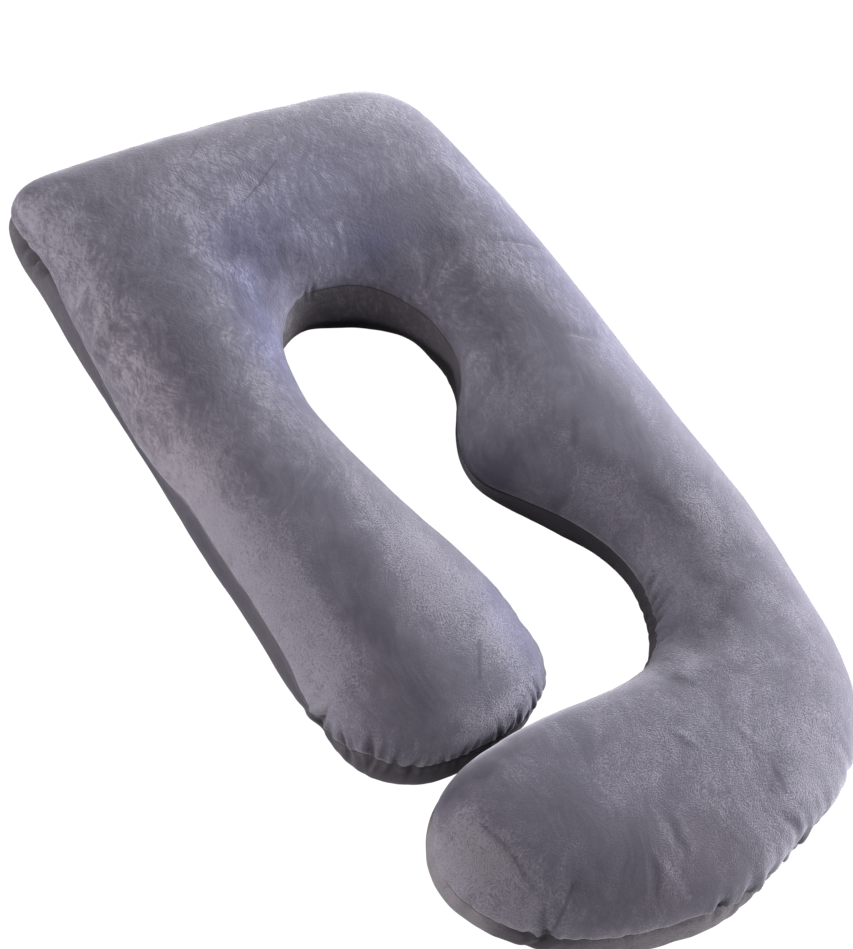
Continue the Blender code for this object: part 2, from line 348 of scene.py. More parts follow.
# %% The stretches where the cloth is gathered
PuckerRow = namedtuple("PuckerRow", "name start end pitch depth reach width upper lower")
PUCKER_ROWS = [
    PuckerRow("straight arm's end",      0.085, 0.300, 0.0165, 0.0030, 0.040, 0.0050, 1.0, 0.5),
    PuckerRow("arm's end, by the hook",  0.000, 0.085, 0.0105, 0.0022, 0.050, 0.0036, 1.0, 0.4),
    PuckerRow("arm's contact side",      6.380, 6.531, 0.0110, 0.0030, 0.056, 0.0036, 1.0, 0.3),
    PuckerRow("hook's turn",             3.360, 3.760, 0.0200, 0.0030, 0.032, 0.0056, 1.0, 0.6),
    PuckerRow("hook's end",              3.800, 4.140, 0.0300, 0.0018, 0.032, 0.0060, 1.0, 0.8),
    PuckerRow("left corner",             1.080, 1.350, 0.0420, 0.0016, 0.044, 0.0080, 1.0, 1.0),
    PuckerRow("head's right corner",     1.720, 1.980, 0.0450, 0.0013, 0.044, 0.0080, 1.0, 1.0),
    PuckerRow("long left side",          0.320, 1.060, 0.0850, 0.0009, 0.050, 0.0100, 1.0, 0.6),
    PuckerRow("long right side",         2.000, 3.340, 0.0950, 0.0008, 0.050, 0.0100, 1.0, 0.6),
    PuckerRow("bend of the hollow",      4.630, 4.780, 0.0130, 0.0048, 0.062, 0.0046, 1.0, 0.4),
]
Pucker = namedtuple("Pucker", "run depth reach width slant upper lower")
RIDGE_SHARE = 0.35         # height of the ridges beside a valley, as a share of its depth
RIDGE_PLACE = 1.8          # how far out the ridges lie, in widths
PUCKER_RISE = 0.007        # from the seam to where a pucker is deep
PUCKER_AT_SEAM = 0.30      # share of its depth on the seam itself
# How unevenly the puckers of a row are made, as shares of the row's own measures
FIRST_SPREAD = (0.2, 0.8)
PITCH_SPREAD = (0.6, 1.4)
DEPTH_SPREAD = (0.35, 1.25)
REACH_SPREAD = (0.55, 1.25)
WIDTH_SPREAD = (0.8, 1.3)
SLANT_SPREAD = (-0.30, 0.30)
ROW_END_DEPTH = 0.45       # share of the depth that is left at a row's ends
ROW_END_RISE = 3.0         # how fast the depth rises from there

dice = np.random.default_rng(11)


def scatter_puckers(row):
    """Uneven puckers along one stretch, shallower towards both of its ends."""
    made = []
    place = row.start + row.pitch * dice.uniform(*FIRST_SPREAD)
    while place < row.end:
        along = (place - row.start) / (row.end - row.start)
        fade = min(1.0, ROW_END_RISE * min(along, 1.0 - along) + ROW_END_DEPTH)
        made.append(Pucker(place, row.depth * fade * dice.uniform(*DEPTH_SPREAD),
                           row.reach * dice.uniform(*REACH_SPREAD),
                           row.width * dice.uniform(*WIDTH_SPREAD), dice.uniform(*SLANT_SPREAD),
                           row.upper, row.lower))
        place += row.pitch * dice.uniform(*PITCH_SPREAD)
    return made


def valley(offset):
    """Cross-section of a pucker or crease: a trough between two low ridges."""
    ridges = np.exp(-(np.abs(offset) - RIDGE_PLACE) ** 2)
    return -np.exp(-offset ** 2) + RIDGE_SHARE * ridges


def pucker_heights(puckers):
    """How far each point is moved out of the cloth, and how gathered it is there."""
    height_of, gathered = np.zeros(len(gap)), np.zeros(len(gap))
    for pucker in puckers:
        near = np.flatnonzero(gap < pucker.reach * 2)
        offset = run[near] - pucker.run - pucker.slant * gap[near]
        offset -= seam_length * np.round(offset / seam_length)
        beside = np.abs(offset) < pucker.width * 4
        near, offset = near[beside], offset[beside]
        from_seam = gap[near]
        rise = PUCKER_AT_SEAM + (1 - PUCKER_AT_SEAM) * np.clip(from_seam / PUCKER_RISE, 0, 1)
        fade = np.exp(-(from_seam / pucker.reach) ** 2 * 2.0)
        strength = rise * fade * np.where(upper[near], pucker.upper, pucker.lower)
        height_of[near] += pucker.depth * strength * valley(offset / pucker.width)
        gathered[near] += pucker.depth * strength * np.exp(-(offset / pucker.width) ** 2)
    return height_of, gathered


# %% The main puckers, listed one by one, and the scattered ones
MAIN_PUCKERS = [
    Pucker(0.264, 0.0130, 0.044, 0.0090, -0.15, 1.0, 0.6),    # the deep notch at the arm's end
    Pucker(0.238, 0.0060, 0.036, 0.0060,  0.10, 1.0, 0.6),
    Pucker(0.203, 0.0060, 0.040, 0.0056,  0.12, 1.0, 0.6),
    Pucker(0.160, 0.0060, 0.044, 0.0050,  0.20, 1.0, 0.7),
    Pucker(0.131, 0.0055, 0.038, 0.0050,  0.05, 1.0, 0.7),
    Pucker(0.104, 0.0045, 0.034, 0.0055, -0.10, 1.0, 0.7),
    Pucker(1.106, 0.0045, 0.044, 0.0060,  0.50, 0.1, 1.3),    # two ridges under the left corner,
    Pucker(1.121, -0.006, 0.044, 0.0060,  0.50, 0.1, 1.3),    # with troughs between them
    Pucker(1.137, 0.0060, 0.044, 0.0060,  0.50, 0.1, 1.3),
    Pucker(1.153, -0.005, 0.040, 0.0060,  0.50, 0.1, 1.3),
    Pucker(1.170, 0.0060, 0.040, 0.0080,  0.50, 0.1, 1.3),
    Pucker(3.400, 0.0085, 0.038, 0.0080,  0.10, 1.0, 0.3),    # the big dimples of the hook's turn
    Pucker(3.503, 0.0095, 0.034, 0.0085,  0.00, 1.0, 0.3),
    Pucker(3.547, 0.0130, 0.040, 0.0100, -0.20, 1.0, 0.3),
    Pucker(3.580, 0.0070, 0.028, 0.0060,  0.10, 1.0, 0.3),
    Pucker(3.624, 0.0130, 0.042, 0.0105,  0.20, 1.0, 0.3),
    Pucker(3.673, 0.0090, 0.030, 0.0085,  0.00, 1.0, 0.3),
    Pucker(3.721, 0.0090, 0.032, 0.0085,  0.00, 1.0, 0.3),
    Pucker(3.954, 0.0065, 0.060, 0.0075,  0.40, 1.0, 0.8),    # the pinch on the hook's end
    Pucker(3.980, 0.0040, 0.030, 0.0060, -0.20, 1.0, 0.8),
    Pucker(5.585, 0.0025, 0.020, 0.0045,  0.10, 1.0, 0.8),    # three light ones in the head hollow
    Pucker(5.600, 0.0022, 0.018, 0.0040, -0.10, 1.0, 0.8),
    Pucker(5.622, 0.0020, 0.022, 0.0045,  0.00, 1.0, 0.8),
]
puckers = list(MAIN_PUCKERS)
for row in PUCKER_ROWS:
    puckers += scatter_puckers(row)
pucker_height, gathered = pucker_heights(puckers)
print(len(puckers), "puckers, the deepest", round(-1000 * pucker_height.min(), 1), "mm")

# %% [markdown]
# ## Main creases and unevenness
#
# Away from the seam the cloth is smooth, with a few soft creases: a fold at the
# left corner, ripples on the side below it, a ridge at the knees, and faint lines
# on the hook, its turn and both arms. They are given as paths between points on
# the skin. The stitches draw the cloth in along the seam, the lower panel's belly
# is fuller in some places than in others, and the stuffing is never even, so slow
# waves of a millimetre or two go all over the pillow.

# %% Press the creases into the skin
Fold = namedtuple("Fold", "name depth width ridge path")


def fold(name, depth, width, ridge, *places):
    """A fold along a path of places, which are given in millimetres."""
    return Fold(name, depth, width, ridge, np.array(places) / 1000)


FOLDS = [
    fold("corner fold", 0.0030, 0.007, 0.9, (-375, 690, 118), (-384, 655, 125), (-384, 600, 130)),
    fold("side ripple", -0.0050, 0.007, 0.9, (-358, 424, 158), (-378, 400, 135), (-389, 384, 98)),
    fold("side ripple's hollow", 0.0034, 0.008, 0.3,
         (-356, 398, 160), (-374, 376, 138), (-387, 358, 104)),
    fold("side ripple, low", 0.0022, 0.010, 0.8, (-384, 260, 118), (-387, 235, 94)),
    fold("knee ridge", -0.0028, 0.016, 0.4,
         (40, -478, 176), (67, -469, 174), (105, -476, 182), (144, -484, 184)),
    fold("thigh line", 0.0018, 0.013, 0.5, (130, -430, 165), (185, -400, 184), (240, -395, 180)),
    fold("hook line", 0.0012, 0.006, 0.5, (-312, -508, 157), (-301, -570, 157), (-299, -612, 149)),
    fold("hook pinch line", 0.0030, 0.008, 0.6,
         (-292, -658, 95), (-262, -645, 140), (-247, -625, 165)),
    fold("arc on the hook", 0.0013, 0.006, 0.7,
         (-101, -624, 185), (-108, -647, 182), (-110, -673, 175)),
    fold("arc on the hook, low", 0.0014, 0.006, 0.7, (-151, -660, 176), (-169, -699, 153)),
    fold("nick on the hook", -0.0016, 0.006, 0.7, (-21, -538, 189), (-4, -560, 189)),
    fold("nick on the hook, right", -0.0017, 0.006, 0.7, (68, -570, 189), (67, -594, 189)),
    fold("line on the turn", 0.0018, 0.006, 0.7, (92, -632, 184), (70, -648, 180), (46, -662, 177)),
    fold("ripple on the turn", 0.0020, 0.007, 0.7, (51, -693, 163), (82, -717, 132)),
    fold("line on the slope", 0.0012, 0.006, 0.6, (-349, 394, 166), (-370, 363, 149)),
    fold("line on the arm", 0.0012, 0.006, 0.6, (-317, 334, 179), (-338, 299, 171)),
    fold("shoulder line", 0.0018, 0.011, 0.6, (250, 310, 186), (300, 285, 180), (345, 262, 163)),
    fold("shoulder line, low", 0.0014, 0.010, 0.6, (255, 100, 184), (300, 80, 178), (335, 62, 166)),
]
FOLD_END = 0.16            # of a path's length, over which it runs out at each end
FOLD_END_DEPTH = 0.25      # share of the depth that is left at its ends


def fold_height(crease):
    """How far one fold moves each point, and how deep in its trough the point is."""
    steps = np.diff(crease.path, axis=0)
    lengths = np.linalg.norm(steps, axis=1)
    starts = np.concatenate([[0.0], np.cumsum(lengths)])
    best, along = np.full(len(points), np.inf), np.zeros(len(points))
    for start, step, length_here, before in zip(crease.path, steps, lengths, starts):
        offset = points - start
        share = np.clip(offset @ step / length_here ** 2, 0.0, 1.0)
        distance = np.linalg.norm(offset - share[:, None] * step, axis=1)
        closer = distance < best
        best[closer] = distance[closer]
        along[closer] = (before + share * length_here)[closer] / starts[-1]
    fade = np.clip(np.minimum(along, 1 - along) / FOLD_END, 0.0, 1.0)
    fade = FOLD_END_DEPTH + (1 - FOLD_END_DEPTH) * fade * fade * (3 - 2 * fade)
    offset = best / crease.width
    ridge = crease.ridge * RIDGE_SHARE * np.exp(-(offset - RIDGE_PLACE) ** 2)
    trough = np.exp(-offset ** 2)
    return crease.depth * fade * (ridge - trough), crease.depth * fade * trough


def slow_waves(waves, seed):
    """Uneven stuffing: gentle noise of a few sizes."""
    total = np.zeros(len(points))
    for wavelength, rise in waves:
        shift = Vector((seed, 2.0 * seed, wavelength))
        total += rise * np.array([noise.noise(Vector(p) / wavelength + shift) for p in points])
    return total


STUFFING_WAVES = [(0.150, 0.0024), (0.060, 0.0009), (0.028, 0.0004)]    # length and height
WAVE_SEED = 3.7
# How far the stitches draw the cloth in, below the solid's own groove, by the run
# along the seam: most at the left corner and the hook's turn, and outwards in the
# head hollow, where the seam hardly dips
STITCH_PULLS = [
    (0.00, -0.0022), (1.06, -0.0022), (1.11, -0.0065), (1.26, -0.0065), (1.32, -0.0022),
    (3.32, -0.0022), (3.38, -0.0055), (3.74, -0.0055), (3.80, -0.0022), (5.04, -0.0022),
    (5.10, 0.0045), (5.18, 0.0045), (5.28, 0.0030), (5.62, 0.0030), (5.70, -0.0022),
    (6.60, -0.0022),
]
SEAM_GROOVE_WIDTH = 0.0042
# How far the stuffing pushes the lower panel's belly out, by the run along the seam
BELLY_PUSHES = [
    (0.00, 0.0030), (0.90, 0.0030), (1.10, 0.0000), (3.20, 0.0000), (3.38, 0.0110), (3.66, 0.0095),
    (3.95, 0.0015), (4.30, 0.0000), (4.60, 0.0000), (4.66, -0.0030), (4.80, -0.0030),
    (4.88, 0.0010), (4.92, 0.0035), (4.97, 0.0010), (5.10, -0.0050), (5.19, -0.0040),
    (5.34, 0.0095), (5.46, 0.0080), (5.56, 0.0010), (5.70, 0.0000), (6.30, 0.0000), (6.53, 0.0030),
]
BELLY_GAP = 0.055          # from the seam to the middle of the belly
BELLY_REACH = 0.035
FLAT_FLOOR = 0.0005        # cloth lower than this lies on the floor
FLOOR_EASE = 0.012         # above which the cloth is free of the floor

fold_total, fold_trough = np.zeros(len(points)), np.zeros(len(points))
for crease in FOLDS:
    moved, trough = fold_height(crease)
    fold_total += moved
    fold_trough += trough
waves = slow_waves(STUFFING_WAVES, WAVE_SEED)
groove = along_seam(STITCH_PULLS) * np.exp(-(gap / SEAM_GROOVE_WIDTH) ** 2)
belly = along_seam(BELLY_PUSHES) * np.exp(-((gap - BELLY_GAP) / BELLY_REACH) ** 2) * ~upper
free = np.clip((points[:, 2] - FLAT_FLOOR) / FLOOR_EASE, 0.0, 1.0)
move = (pucker_height + fold_total + groove + belly + waves) * free
shaped = points + read_rows(cover.data.vertex_normals, "vector") * move[:, None]
shaped[:, 2] = np.where(points[:, 2] < FLAT_FLOOR, points[:, 2], np.maximum(shaped[:, 2], 0.0))
write_points(cover, shaped)
print(f"cloth moved by {1000 * move.min():.1f} to {1000 * move.max():.1f} mm")

# %% [markdown]
# ## The nap, with painted light and shade
#
# Velvet is brushed one way or another by every hand that touches it, and where
# the pile leans away it looks lighter. Noise gives the small patches. The large
# ones are on the real pillow's own places, so each is a soft spot of its own
# size, drawn out along a direction, lighter or darker than the cloth round it.
# They are partly the nap's own patches and partly painted light and shade:
# painted sheen on the slopes, painted shade on the crown, and painted light and
# shade on the lower panel and behind the hook. Some spots turn the colour a little
# bluer or warmer instead. Further numbers say where shade is painted on the cloth:
# in its folds, low in the hollow and behind the hook.

# %% Lay the nap's spots, with their painted light and shade, on the points
Stroke = namedtuple("Stroke", "tone x y turn long wide")


def strokes(*rows):
    """Soft spots from rows of tone, x, y, turn, length and width, with lengths in millimetres."""
    return [Stroke(tone, x / 1000, y / 1000, turn, long / 1000, wide / 1000)
            for tone, x, y, turn, long, wide in rows]


# Lighter spots along the left side: painted sheen, where the velvet is seen at a grazing angle, over
# the nap's own patches.
LEFT_SIDE_SHEEN = strokes(
    (0.7, -355, 560, 92, 75, 22), (0.3, -327, 640, 60, 35, 25), (0.4, -353, 447, 88, 40, 25),
    (0.3, -345, 300, 90, 80, 30), (0.6, -362, 90, 92, 90, 35), (0.4, -336, -10, 100, 50, 30),
    (0.8, -360, -150, 91, 100, 35), (0.8, -384, -250, 90, 30, 15), (0.9, -388, -80, 90, 160, 14),
    (0.6, -389, 130, 90, 100, 14), (0.4, -345, 650, 20, 50, 30), (0.6, -338, 572, 88, 50, 25),
    (0.7, -374, 660, 85, 50, 12), (0.4, -372, 320, 90, 70, 20), (0.5, -375, 20, 90, 80, 20),
    (0.4, -345, -150, 90, 90, 25),
)
# Darker spots on the straight arm's crown: partly the nap, partly painted shade.
ARM_CROWN = strokes(
    (-0.6, -275, 460, 85, 100, 35), (-0.7, -290, 350, 88, 80, 35), (-0.7, -288, 265, 90, 70, 35),
    (-0.4, -282, 100, 88, 80, 30), (-0.6, -265, -50, 85, 80, 30), (-0.6, -264, -170, 90, 90, 30),
    (-0.9, -285, -260, 95, 90, 45), (-0.5, -296, -355, 90, 50, 45),
)
# Lighter spots on the arm's hollow side: partly the nap, partly painted sheen.
ARM_HOLLOW_SIDE = strokes(
    (0.8, -243, 160, 75, 55, 28), (0.4, -210, 362, 85, 50, 25), (0.5, -205, -30, 100, 60, 20),
    (0.8, -168, -150, 80, 90, 30), (0.7, -139, -280, 85, 60, 25), (0.9, -175, -385, 30, 50, 16),
    (0.6, -200, -160, 85, 80, 32), (0.5, -140, -300, 85, 90, 28), (0.8, -255, -402, 8, 70, 18),
    (0.5, -320, -382, -20, 50, 18),
)
# Spots on the head end and, below, the long arm: partly the nap's own patches, partly painted light
# and shade.
HEAD_END = strokes(
    (0.5, -85, 635, 0, 60, 20), (0.6, -170, 530, 80, 50, 25), (0.5, -85, 530, 30, 50, 30),
    (-0.4, -247, 675, 10, 60, 30), (-0.5, -293, 570, 85, 60, 30), (-0.6, -71, 400, -45, 60, 30),
    (-0.4, 44, 480, 0, 60, 50), (-0.5, -105, 455, 30, 40, 30), (-0.9, 163, 424, -20, 80, 50),
    (-0.5, 165, 550, 0, 40, 30), (-0.6, 200, 335, 80, 60, 35), (0.3, 200, 636, 0, 50, 20),
    (0.5, 276, 600, 110, 60, 25), (0.7, 300, 465, 95, 70, 22), (-0.9, 143, 385, -20, 70, 45),
    (-0.9, -140, 697, 2, 150, 32), (-0.5, -265, 690, 5, 60, 25), (-0.8, -95, 385, 60, 50, 20),
    (-0.5, 45, 385, -15, 90, 25), (0.4, -165, 500, 85, 60, 25), (-0.3, -68, 405, -45, 50, 30),
    (0.5, -40, 605, 0, 70, 20), (0.4, -90, 500, 80, 50, 30), (-0.3, -235, 610, 80, 50, 30),
    (-0.4, -235, 420, 80, 60, 25), (0.3, -160, 420, 85, 40, 20), (0.3, 260, 630, 0, 50, 25),
)
LONG_ARM = strokes(
    (0.4, 279, 216, 95, 60, 25), (0.5, 309, 46, 92, 50, 20), (0.5, 299, -58, 92, 40, 20),
    (-1.2, 232, 100, 90, 90, 34), (-0.9, 197, -70, 100, 60, 30), (-0.7, 222, -153, 95, 50, 30),
    (-1.2, 60, -40, 60, 50, 30), (0.7, 112, 35, 60, 50, 32), (0.9, 248, -278, 95, 60, 28),
    (0.8, 174, -346, 95, 60, 20), (-0.5, 249, -350, 90, 30, 20), (-0.5, 201, -430, 80, 40, 25),
    (0.7, 262, -440, 100, 70, 22), (0.9, 83, -453, 60, 25, 16), (-0.8, 232, -45, 100, 50, 27),
    (0.8, 210, -315, 100, 50, 22), (0.3, 165, -140, 100, 80, 30), (0.3, 145, -5, 60, 40, 30),
    (0.4, 160, -380, 100, 50, 22), (0.4, 305, -330, 95, 60, 20),
)
HOOK = strokes(
    (0.4, 112, -540, 40, 50, 35), (0.4, -79, -542, 20, 80, 30), (0.3, -19, -620, 20, 50, 30),
    (0.7, 140, -674, 20, 50, 25), (1.0, -337, -515, 60, 50, 35), (0.9, -315, -607, 100, 60, 35),
    (-0.5, -223, -550, 90, 50, 40), (-0.4, -206, -650, 20, 80, 35), (0.6, -360, -545, 95, 60, 22),
    (-0.5, -318, -455, 40, 35, 14), (0.6, -325, -530, 90, 50, 30), (-0.4, -165, -495, 20, 60, 30),
    # The last two spots, dark along the hook's edge by the arm's end, are painted shadow.
    (0.4, -10, -575, 20, 60, 30), (0.8, 135, -650, 35, 60, 30), (-1.0, -262, -443, 15, 60, 18),
    (-0.8, -200, -425, 15, 50, 16),
)
# Spots on the lower panel: painted light on its rims at the hook and in the head hollow, and painted
# shade on its shaded walls, over a little nap.
UNDER_PANEL_LIGHT_AND_SHADE = strokes(
    (-0.3, -392, 150, 90, 420, 60), (-0.5, -290, -410, 25, 130, 60), (1.2, -88, 350, 60, 22, 14),
    (-1.2, 100, 60, 90, 100, 60), (1.4, 58, 10, 90, 50, 50), (-1.0, 130, -240, 90, 150, 80),
    (4.0, -380, -515, 110, 90, 45), (2.5, 20, -745, 10, 110, 30), (-0.8, -315, -640, -40, 60, 30),
    (0.5, -180, -720, -12, 90, 40), (3.0, 150, -690, 35, 150, 50),
)
HUE_PATCHES = strokes(
    (0.75, -165, 280, 80, 110, 35), (0.4, -120, 420, 70, 90, 60), (0.4, 20, 500, 20, 170, 110),
    (0.5, 85, 385, -5, 60, 30), (-0.8, -370, 250, 90, 250, 40), (0.4, 330, 250, 90, 350, 50),
    (0.5, -100, -280, 80, 110, 35), (-0.6, -340, -530, 90, 80, 50), (-0.45, -130, -690, 0, 150, 50),
    (-0.35, -300, -250, 90, 120, 60),
)
UNDER_HUES = strokes(
    (0.3, -390, 150, 90, 500, 60),
)
STRAY = 0.016              # how far the edge of a brush mark wanders
STRAY_SIZE = 0.045         # over what distance
STRAY_SEED = 4             # without a seed, vector noise follows the clock
noise.seed_set(STRAY_SEED)
stray = np.array([noise.noise_vector(Vector(p) / STRAY_SIZE) for p in points]) * STRAY
stray += np.array([noise.noise_vector(Vector(p) / STRAY_SIZE * 3.0) for p in points]) * STRAY / 2


def spot_tone(marks, panel):
    """Soft spots with ragged edges, on one of the two panels."""
    tone = np.zeros(len(points))
    for stroke in marks:
        turn = math.radians(stroke.turn)
        dx = points[:, 0] + stray[:, 0] - stroke.x
        dy = points[:, 1] + stray[:, 1] - stroke.y
        along = (dx * math.cos(turn) + dy * math.sin(turn)) / stroke.long
        across = (dy * math.cos(turn) - dx * math.sin(turn)) / stroke.wide
        tone += stroke.tone * np.exp(-along ** 2 - across ** 2)
    return tone * panel


# Below these heights, by the run, the lower panel curls under in the hollow, into
# deep shade
CURL_TOPS = [
    (4.40, 0.000), (4.55, 0.034), (4.80, 0.038), (4.95, 0.036), (5.08, 0.032), (5.15, 0.032),
    (5.22, 0.064), (5.29, 0.074), (5.33, 0.068), (5.38, 0.062), (5.50, 0.066), (5.60, 0.060),
    (5.66, 0.040), (5.72, 0.000),
]
CURL_BLEND = 0.008         # the height over which the shade sets in
# How dark the lower panel is, by the run, where the hook shuts the light out of it
CONTACT_SHADES = [
    (0.00, 0.12), (0.05, 0.05), (0.12, 0.00), (6.20, 0.00), (6.38, 0.35), (6.53, 0.40),
]

FOLD_FULL = 0.004          # a fold this deep is fully in shade,
PLEAT_FULL = 0.005         # and so is a pucker this deep
GATHER_FULL = 0.002        # a pucker this deep has all its fine gathers

upper_strokes = LEFT_SIDE_SHEEN + ARM_CROWN + ARM_HOLLOW_SIDE + HEAD_END + LONG_ARM + HOOK
# The spots' tone: the nap's own patches with painted light and shade laid on them.
nap_and_painted_light = spot_tone(upper_strokes, upper) + spot_tone(UNDER_PANEL_LIGHT_AND_SHADE, ~upper)
write_attribute(cover, "nap_and_painted_light", nap_and_painted_light)
hue_tone = spot_tone(HUE_PATCHES, upper) + spot_tone(UNDER_HUES, ~upper)
write_attribute(cover, "hue_tone", hue_tone)
fold_shade = np.clip(fold_trough / FOLD_FULL + gathered / PLEAT_FULL, 0.0, 1.0)
write_attribute(cover, "fold_shade", fold_shade)
curl = np.clip((along_seam(CURL_TOPS) - points[:, 2]) / CURL_BLEND, 0.0, 1.0)
curl_shade = np.maximum(curl, along_seam(CONTACT_SHADES)) * ~upper
write_attribute(cover, "curl_shade", curl_shade)
write_attribute(cover, "seam_gap", gap)
write_attribute(cover, "seam_run", run)
write_attribute(cover, "gathered", np.clip(gathered / GATHER_FULL, 0.0, 1.0))

# %% [markdown]
# ## Shader groups for the velvet
#
# Both panels are the same velvet, so its effects are node groups that are built
# once and placed in both materials. All of them read the cloth's own position or
# the numbers on its points, never the camera, so the cloth looks the same cloth
# from every side.

# %% Helpers that start a group and add nodes to it
def start_group(name, inputs, outputs):
    """A node group with its input and output sockets. An input's default says its kind:
    one number, the three of a vector or the four of a colour."""
    group = bpy.data.node_groups.new(name, "ShaderNodeTree")
    for label, value in inputs.items():
        kind = {1: "Float", 3: "Vector", 4: "Color"}[np.size(value)]
        socket = group.interface.new_socket(label, in_out="INPUT", socket_type="NodeSocket" + kind)
        socket.default_value = value
    for label, kind in outputs.items():
        group.interface.new_socket(label, in_out="OUTPUT", socket_type="NodeSocket" + kind)
    given, result = group.nodes.new("NodeGroupInput"), group.nodes.new("NodeGroupOutput")
    return group, given.outputs, result.inputs


def add_node(tree, kind, values=(), **settings):
    """A node with its settings, and its inputs given as numbers or as other sockets."""
    node = tree.nodes.new("ShaderNode" + kind)
    for name, value in settings.items():
        setattr(node, name, value)
    for name, value in dict(values).items():
        if isinstance(value, bpy.types.NodeSocket):
            tree.links.new(value, node.inputs[name])
        else:
            node.inputs[name].default_value = value
    return node


def combine(tree, operation, *values):
    """A Math node's result."""
    return add_node(tree, "Math", enumerate(values), operation=operation).outputs[0]


def combine_vectors(tree, operation, first, second):
    """A Vector Math node's result: a number for a dot product or a distance."""
    places = {0: first, "Scale" if operation == "SCALE" else 1: second}
    node = add_node(tree, "VectorMath", places, operation=operation)
    return node.outputs["Value" if operation in ("DOT_PRODUCT", "DISTANCE") else 0]


def remap(tree, value, start, end, to_start=0.0, to_end=1.0, kind="LINEAR"):
    """A Map Range node's result."""
    limits = {"Value": value, "From Min": start, "From Max": end,
              "To Min": to_start, "To Max": to_end}
    return add_node(tree, "MapRange", limits, interpolation_type=kind).outputs["Result"]


def smooth_fade(tree, value, start, end):
    """1 up to the start, 0 from the end, and a soft change between them."""
    return remap(tree, value, start, end, 1.0, 0.0, "SMOOTHSTEP")


def mix_colours(tree, share, first, second, blend="MIX"):
    """A Mix node's colour, with the second colour laid over the first."""
    return add_node(tree, "Mix", {"Factor": share, 6: first, 7: second},
                    data_type="RGBA", blend_type=blend).outputs[2]


# %% Patches, streaks and fibres of brushed pile
STREAK_TURN = math.radians(72)    # the way the pile was brushed, in plan
STREAK_SIZE = (0.070, 0.012, 0.015)
FIBRE_SIZE = (0.0140, 0.0036, 0.0045)
GRAIN_SIZE = (0.0025, 0.0023, 0.0024)
OTHER_FIBRES = math.radians(48)   # the fibres that cross them
COMBED_FROM, COMBED_TO = -0.10, 0.25    # along the length: napped on the arms, combed at the head
NAP_BEND = (6.0, 0.16)     # how finely and how far each kind of mark is bent
PILE_BEND = (14.0, 0.05)
MARK_BEND = (40.0, 0.006)
PATCH_NOISE = {"Scale": 9.0, "Detail": 7.0, "Roughness": 0.64}
PLAIN_STREAKS = 0.8        # strength of the streaks where the pile isn't combed,
COMBED_STREAKS = 0.9       # and what the combing adds to it
FIBRE_STRENGTH = 1.4
GRAIN_STRENGTH = 2.0
LEAST_COMBED = 0.5         # how strongly combed fibres show even in the dark
DARK_TONE, LIGHT_TONE = 0.20, 0.80    # between them the pile's fibres show more and more,
DARK_FLECK = 0.18                     # from this share to the full


def brushed_noise(group, place, size, turn, detail, roughness):
    """Noise drawn out along the way the pile was brushed, from -0.5 to 0.5."""
    drawn = add_node(group, "Mapping", {"Vector": place, "Rotation": (0.0, 0.0, turn),
                                        "Scale": size}, vector_type="TEXTURE")
    lines = add_node(group, "TexNoise", {"Vector": drawn.outputs[0], "Scale": 1.0,
                                         "Detail": detail, "Roughness": roughness})
    return combine(group, "SUBTRACT", lines.outputs["Fac"], 0.5)


def bent_place(group, scale, reach):
    """The cloth's own position, pushed about by slow noise, so that nothing runs straight."""
    place = add_node(group, "TexCoord").outputs["Object"]
    bend = add_node(group, "TexNoise", {"Vector": place, "Scale": scale, "Detail": 2.0})
    centred = combine_vectors(group, "SUBTRACT", bend.outputs["Color"], (0.5, 0.5, 0.5))
    pushed = combine_vectors(group, "SCALE", centred, reach)
    return combine_vectors(group, "ADD", place, pushed)


def combed_share(group, place):
    """How far the pile is combed into streaks: not on the arms, fully at the head end."""
    length_wise = add_node(group, "SeparateXYZ", {"Vector": place}).outputs["Y"]
    return remap(group, length_wise, COMBED_FROM, COMBED_TO)


def make_nap_group():
    """Tone of the nap, 0 where the pile stands dark and 1 where it lies light, with the spots'
    painted light and shade added.
    """
    group, given, result = start_group(
        "brushed nap", {"Nap and painted light": 0.0, "Patches": 0.5, "Streaks": 0.3}, {"Tone": "Float"})
    bent = bent_place(group, *NAP_BEND)
    patch = add_node(group, "TexNoise", {"Vector": bent, **PATCH_NOISE})
    patch_off = combine(group, "SUBTRACT", patch.outputs["Fac"], 0.5)
    streak_off = brushed_noise(group, bent, STREAK_SIZE, STREAK_TURN, 5.0, 0.65)
    combed = combine(group, "MULTIPLY", combed_share(group, bent), COMBED_STREAKS)
    strength = combine(group, "ADD", combed, PLAIN_STREAKS)
    streak_off = combine(group, "MULTIPLY", streak_off, strength)
    total = combine(group, "ADD", combine(group, "MULTIPLY", patch_off, given["Patches"]),
                    combine(group, "MULTIPLY", streak_off, given["Streaks"]))
    brushed = combine(group, "MULTIPLY", given["Nap and painted light"], 0.5)
    tone = combine(group, "ADD", combine(group, "ADD", total, brushed), 0.5)
    group.links.new(tone, result["Tone"])
    return group


